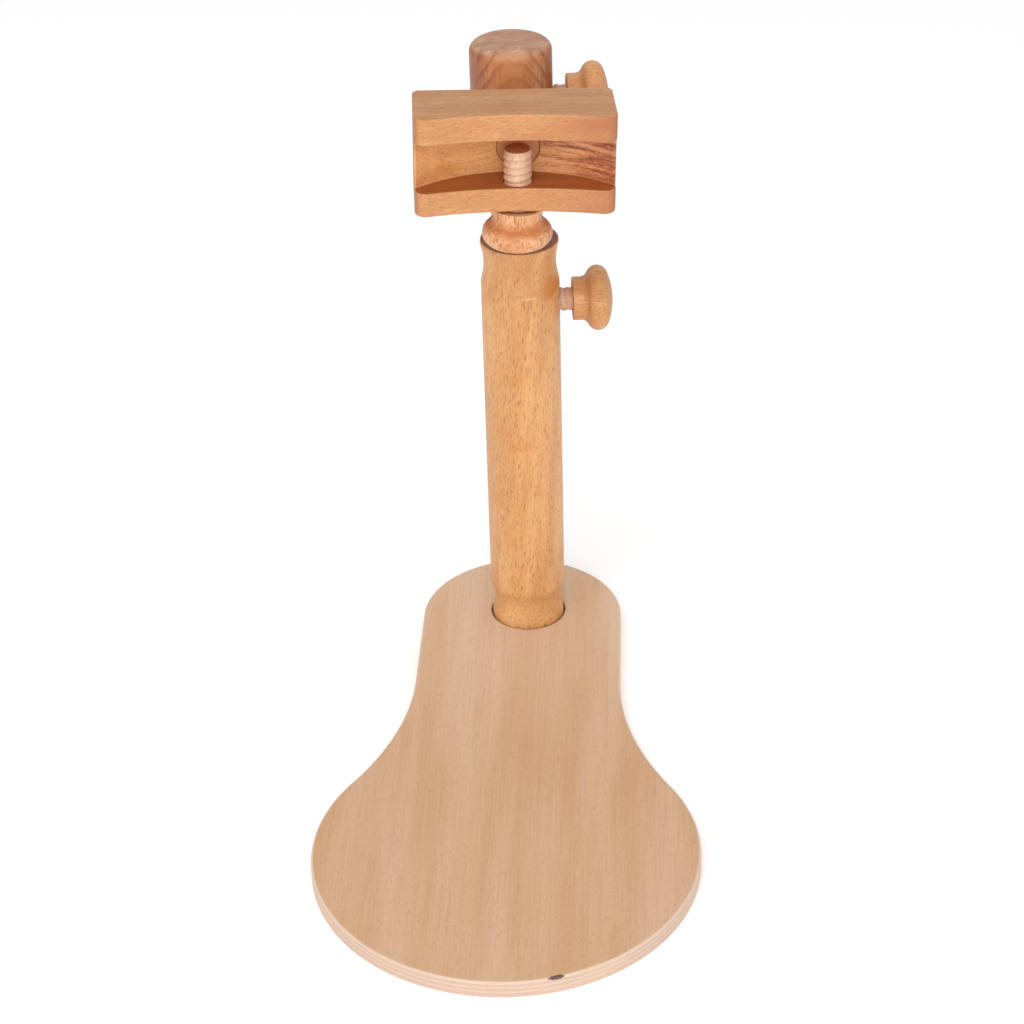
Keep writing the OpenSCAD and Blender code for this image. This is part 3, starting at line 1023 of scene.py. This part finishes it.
def torn_wall(n, coord, colour):
    """A warmer hollow wall, with torn dark streaks and light pink between on its right half."""
    place = n.in_mm(coord)
    across_x, up_z = n.part(place, 0), n.part(place, 2)
    jaw_z = turned_box("clamp_block", BLOCK_PLACE)[1][2] - JAW_T
    forward = n.part(coord.outputs["Normal"], 1)
    inside = n.times(n.span(up_z, jaw_z, jaw_z - 0.8), n.span(forward, -0.4, -0.8))
    inside = n.times(inside, n.span(up_z, jaw_z - JAW_GAP, jaw_z - JAW_GAP + 1))
    colour = n.mix(inside, colour, WALL_WARM, "MULTIPLY")
    inside = n.times(inside, n.span(across_x, *TORN_FROM))
    band = n.cloud(place, (0.035, 0.035, 0.42), 2.0, 0.5, 0.3)
    grit = n.cloud(place, (0.42, 0.42, 2.4), 3.0, 0.7)
    lines = n.plus(n.times(band, 0.62), n.times(grit, 0.38))
    colour = n.mix(n.times(inside, n.span(lines, 0.49, 0.42, 0.0, 0.75)), colour, PINK)
    return n.mix(n.times(inside, n.span(lines, 0.50, 0.57, 0.0, 0.75)), colour, TORN)


def red_end(n, coord, colour):
    """The block is redder towards the end on the side of the knobs."""
    place = coord.outputs["Object"]
    cloud = n.cloud(place, (30, 60, 90))
    cloud = n.times(cloud, n.upward(coord, 0.9, 0.5))
    along = n.span(n.part(place, 0), 0.0, RED_REACH * MM)
    return n.mix(n.times(along, n.span(cloud, 0.0, 0.6, 0.0, 0.85)), colour, RED)


# On the head: how fast the arches bend, how far they wander and how far apart they lie
ARCH_BEND = 0.085
ARCH_SWING = 9.0
ARCH_GAP = 8.5
ARCH_DARK = shade(120, 64, 34)
# Painted highlight down the middle of the head's front, and painted shade on its flanks
MIDDLE_HIGHLIGHT = shade(214, 150, 98)
FLANK_SHADE = shade(122, 70, 42)
SCRATCH_TURN = -28
SCRATCH_PALE = shade(224, 190, 164)
TOP_CLOUD = shade(160, 114, 88)


def arches_and_painted_light(n, coord, colour):
    """Growth layers that arch on the front of the head, with a painted highlight down the middle
    and painted shade on the flanks.
    """
    place = n.in_mm(coord)
    x, y, z = n.split(place)
    front = n.span(y, -6.0, -12.0)
    rise = n.plus(z, n.times(n.math("POWER", x, 2.0), ARCH_BEND))
    rise = n.plus(rise, n.times(n.cloud(place, (0.12, 0.12, 0.08)), ARCH_SWING))
    wave = n.math("FRACT", n.math("DIVIDE", rise, ARCH_GAP))
    dark = n.times(n.span(wave, 0.45, 0.9), n.span(wave, 1.0, 0.92))
    colour = n.mix(n.times(n.times(dark, front), 0.55), colour, ARCH_DARK)
    # Painted highlight in the middle of the front, then painted shade on the flanks where the round
    # head turns from the light
    aside = n.math("ABSOLUTE", x)
    colour = n.mix(n.times(n.span(aside, 12.0, 3.0, 0.0, 0.4), front), colour, MIDDLE_HIGHLIGHT)
    upward = n.upward(coord, 0.8, 0.4)
    return n.mix(n.times(n.span(aside, 10.0, 17.5, 0.0, 0.45), upward), colour, FLANK_SHADE)


def scratched_top(n, coord, colour):
    """Pale scratches and dull clouds on the top of the head."""
    up = n.upward(coord, 0.7, 0.95)
    inputs = {"Vector": n.in_mm(coord), "Rotation": (0, 0, math.radians(SCRATCH_TURN))}
    turned = n.add("Mapping", inputs).outputs[0]
    scratch = n.cloud(turned, (0.08, 0.5, 0.0), 3.0, 0.65, 0.6)
    cloud = n.cloud(turned, (0.09, 0.16, 0.0))
    colour = n.mix(n.times(up, n.span(cloud, 0.4, 0.62, 0.0, 0.6)), colour, TOP_CLOUD)
    return n.mix(n.times(up, n.span(scratch, 0.52, 0.68, 0.0, 0.55)), colour, SCRATCH_PALE)


# Where the clamping knob's hollow starts and ends, measured from its neck
COVE_START = (3.5, 6.0)
COVE_END = (11.0, 8.0)
COVE_ORANGE = shade(192, 114, 58)
COVE_DASH = shade(134, 76, 40)


def stained_cove(n, coord, colour):
    """Orange patches and dark fibres where the knob's hollow cuts across the grain."""
    place = n.in_mm(coord)
    along = n.part(place, 2)
    zone = n.times(n.span(along, *COVE_START), n.span(along, *COVE_END))
    patch = n.cloud(place, (0.14, 0.14, 0.10), 3.0, 0.6)
    dash = n.cloud(place, (1.0, 1.0, 0.16))
    colour = n.mix(n.times(zone, n.span(patch, 0.42, 0.62, 0.2, 0.8)), colour, COVE_ORANGE)
    return n.mix(n.span(dash, 0.60, 0.70, 0.0, 0.6), colour, COVE_DASH)


# On the column: painted light that lightens it towards the foot, between two heights
LOW_PAINTED_LIGHT = (1.06, 1.12, 1.14, 1)
LOW_LIGHT_FROM = (100.0, 15.0)
# The oil-stained patch and the scar as (x, y, height above the lower locking screw)
STAIN_AT = (13.5, -12.0, 12.0)
STAIN_ORANGE = shade(196, 120, 56)
SCAR_AT = (3.0, -17.2, 9.5)
SCAR_PALE = shade(244, 206, 160)


def distance_from(n, place, spot, x, y, z):
    """Distance from a spot near the lower locking screw, on a scale of its own for each axis."""
    centre = (spot[0], spot[1], middle("height_screw")[2] + spot[2])
    return n.length(n.scaled(n.vector("SUBTRACT", {0: place, 1: centre}), x, y, z))


def stain_and_painted_light(n, coord, colour):
    """Oil-stained patch round the hole of the lower locking screw, a pale scar across the front,
    and painted light towards the foot.
    """
    place = n.in_mm(coord)
    # Painted light: the column is lightened towards its foot, against the shade that falls there
    # from above
    colour = n.mix(n.span(n.part(place, 2), *LOW_LIGHT_FROM), colour, LOW_PAINTED_LIGHT, "MULTIPLY")
    far = distance_from(n, place, STAIN_AT, 0.11, 0.11, 0.16)
    cloud = n.cloud(place, (0.16, 0.16, 0.12), 3.0, 0.6)
    far = n.plus(far, n.times(n.minus(cloud, 0.5), 1.4))
    colour = n.mix(n.span(far, 1.15, 0.35, 0.0, 0.85), colour, STAIN_ORANGE)
    far = distance_from(n, place, SCAR_AT, 0.22, 0.2, 1.4)
    return n.mix(n.span(far, 1.2, 0.2, 0.0, 0.4), colour, SCAR_PALE)


# Looks of the woods, with colours from 0 to 255. "line" is for the layers, "dark" for the flecks
TURNED = {
    "seed": (3.0, 11.0, 7.0),
    "turn": (0, 0, 0),
    "sway": 5.0,
    "tone_size": (0.11, 0.11, 0.010),
    "layer_way": (0.5, -0.86, 0.02),
    "layer_gap": 9.0,
    "layer_depth": 0.22,
    "pale": (221, 167, 111),
    "deep": (209, 152, 98),
    "line": (190, 126, 74),
    "dark": (158, 94, 46),
    # End grain, darkened partly for the wood and partly as painted shade on the column's rim under
    # the block and knob
    "end": (128, 76, 56),
    "end_dark": (98, 54, 38),
    "end_depth": 0.85,
    "fibre": 0.16,
    "streak": 0.4,
    "fleck": (0.75, 6.0),
    "fleck_depth": 0.6,
    "rough": 0.4,
    "specular": 0.4,
    "relief": 0.05,
    "blotch": (196, 124, 62),
    "blotch_size": (0.07, 0.07, 0.05),
    "blotch_depth": 0.35,
    "paint": (),
}
COLUMN = dict(
    TURNED,
    turn=(0, -6, 0),
    fleck=(0.52, 5.0),
    fleck_depth=0.8,
    streak=0.5,
    dark=(150, 88, 42),
    paint=(stain_and_painted_light,),
)
KNOB = dict(
    TURNED,
    seed=(21.0, 4.0, 13.0),
    layer_gap=2.3,
    layer_depth=0.4,
    layer_way=(-0.55, -0.83, 0.05),
    pale=(222, 166, 114),
    deep=(208, 150, 98),
    end=(204, 146, 98),
    end_dark=(172, 116, 74),
    end_depth=0.65,
    blotch_size=(0.16, 0.16, 0.10),
    blotch_depth=0.5,
    fleck=(0.75, 4.5),
    fleck_depth=0.75,
    streak=0.5,
    dark=(140, 84, 44),
)
CLAMP_KNOB = dict(
    KNOB,
    seed=(2.0, 31.0, 5.0),
    layer_way=(0.1, 0.99, 0.0),
    pale=(232, 176, 132),
    deep=(220, 158, 112),
    blotch=(188, 112, 58),
    blotch_size=(0.14, 0.14, 0.24),
    blotch_depth=0.75,
    fleck=(0.9, 5.0),
    paint=(stained_cove,),
)
PLAIN = dict(
    TURNED,
    seed=(9.0, 2.0, 27.0),
    pale=(224, 176, 128),
    deep=(212, 160, 112),
    end=(202, 132, 82),
    end_dark=(168, 104, 62),
    rough=0.5,
    blotch_depth=0.15,
)
BROWN = dict(
    TURNED,
    seed=(5.0, 17.0, 3.0),
    layer_way=(0.25, -0.96, 0.08),
    layer_gap=5.0,
    layer_depth=0.12,
    pale=(196, 131, 84),
    deep=(174, 107, 64),
    line=(128, 72, 42),
    dark=(98, 50, 28),
    end=(196, 156, 130),
    end_dark=(160, 116, 92),
    fleck=(0.8, 6.0),
    blotch=(146, 84, 48),
    blotch_depth=0.5,
    paint=(arches_and_painted_light, scratched_top),
    fleck_depth=0.35,
)
BLOCK = dict(
    TURNED,
    seed=(14.0, 8.0, 19.0),
    turn=(0, -90, 0),
    layer_way=(0.6, -1.2, 0.35),
    layer_gap=1.8,
    layer_depth=0.3,
    pale=(213, 159, 107),
    deep=(198, 139, 88),
    line=(182, 114, 64),
    dark=(120, 68, 38),
    end=(184, 124, 84),
    end_dark=(148, 90, 56),
    fleck=(0.6, 3.6),
    blotch=(170, 100, 62),
    blotch_size=(0.05, 0.05, 0.03),
    blotch_depth=0.5,
    paint=(red_end, torn_wall, shaded_seat, shaded_top),
    fleck_depth=0.4,
)
RAW = dict(
    TURNED,
    seed=(7.0, 23.0, 1.0),
    layer_depth=0.15,
    pale=(220, 184, 155),
    deep=(210, 168, 139),
    line=(192, 142, 108),
    dark=(156, 104, 74),
    end=(174, 86, 44),
    end_dark=(140, 64, 34),
    fleck=(0.8, 4.0),
    rough=0.6,
    specular=0.25,
    blotch_depth=0.1,
)


# ---- putting it together


def finish_piece(obj, material, body, node):
    """Gives a piece its material and body, and hides the CAD node that it stands in for."""
    obj.data.materials.clear()
    obj.data.materials.append(material)
    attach(obj, body)
    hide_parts(node)


def build():
    """Makes every piece of the stand."""
    knob_wood = wood("knob_wood", KNOB)
    raw = wood("raw_wood", RAW)
    finish_piece(board(), plywood(), "base", "base_board")
    finish_piece(board_screw(), steel(), "base", "foot_screw")
    finish_piece(column(), wood("column_wood", COLUMN), "base", "column")
    plain = wood("plain_wood", PLAIN)
    finish_piece(rod(), plain, "rod", "lift_rod")
    finish_piece(head(), wood("head_wood", BROWN), "head", "head")
    finish_piece(arm(), plain, "arm", "arm")
    finish_piece(clamp_block(), wood("block_wood", BLOCK), "block", "clamp_block")
    for which in ("height", "arm"):
        screw, grip = lock_screw(which)
        finish_piece(screw, raw, which + "_screw", which + "_screw")
        finish_piece(grip, knob_wood, which + "_knob", which + "_knob")
    screw, grip = clamp_screw()
    finish_piece(screw, raw, "clamp_screw", "clamp_screw")
    clamp_wood = wood("clamp_knob_wood", CLAMP_KNOB)
    finish_piece(grip, clamp_wood, "clamp_knob", "clamp_knob")


# ---- studio

# In metres, and lamps as (name, place, size, power in watts)
FLOOR_HALF = 6.0
FLOOR_WHITE = (0.97, 0.97, 0.97, 1)
FLOOR_GLOW = 0.13
WORLD_LIGHT = 0.76
LAMPS = (
    ("key", (-0.5, -1.4, 1.9), 1.6, 15),
    ("front", (0.35, -2.0, 0.8), 1.6, 13),
)
LAMP_AIM = (0, -0.05, 0.12)


def pale_floor():
    """Plain floor that the stand is on."""
    half = FLOOR_HALF
    mesh = bpy.data.meshes.new("floor")
    corners = [(-half, -half, 0), (half, -half, 0), (half, half, 0), (-half, half, 0)]
    mesh.from_pydata(corners, [], [(0, 1, 2, 3)])
    floor = add_object("floor", mesh)
    paint = {"Base Color": FLOOR_WHITE, "Roughness": 0.9, "Specular IOR Level": 0.1}
    glow = {"Emission Color": (1, 1, 1, 1), "Emission Strength": FLOOR_GLOW}
    mesh.materials.append(Nodes("floor_paint").finished({**paint, **glow}))


def lamp(name, place, size, power):
    """Large soft round lamp that points at the stand."""
    data = bpy.data.lights.new(name, "AREA")
    data.shape = "DISK"
    data.size = size
    data.energy = power
    light = add_object(name, data)
    light.location = place
    light.rotation_mode = "QUATERNION"
    aim = Vector(LAMP_AIM) - Vector(place)
    light.rotation_quaternion = aim.to_track_quat("-Z", "Y")


def studio():
    """Pale floor, an even pale surround and two large soft lamps."""
    pale_floor()
    world = bpy.data.worlds.new("studio")
    world.use_nodes = True
    sky = world.node_tree.nodes["Background"]
    sky.inputs["Color"].default_value = (1, 1, 1, 1)
    sky.inputs["Strength"].default_value = WORLD_LIGHT
    bpy.context.scene.world = world
    for settings in LAMPS:
        lamp(*settings)
    bpy.context.scene.view_settings.view_transform = "Standard"


# Viewing angle: where the camera looks and from how far in metres, angles in degrees, lens in mm
AIM = (-0.00678, 0.0, 0.06409)
DISTANCE = 1.1687
AZIMUTH = 3.345
ELEVATION = 31.870
ROLL = -1.655
LENS = 85.09
SENSOR_W = 36


def camera():
    """Camera at the viewing angle, in front of the wide end and above it."""
    data = bpy.data.cameras.new("camera")
    data.lens = LENS
    data.sensor_width = SENSOR_W
    eye = add_object("camera", data)
    azimuth, elevation = math.radians(AZIMUTH), math.radians(ELEVATION)
    level = math.cos(elevation)
    out = Vector((math.sin(azimuth) * level, -math.cos(azimuth) * level, math.sin(elevation)))
    look = (-out).to_track_quat("-Z", "Y").to_matrix().to_4x4()
    roll = Matrix.Rotation(math.radians(ROLL), 4, "Z")
    eye.matrix_world = Matrix.Translation(Vector(AIM) + out * DISTANCE) @ look @ roll
    bpy.context.scene.camera = eye


build()
studio()
camera()
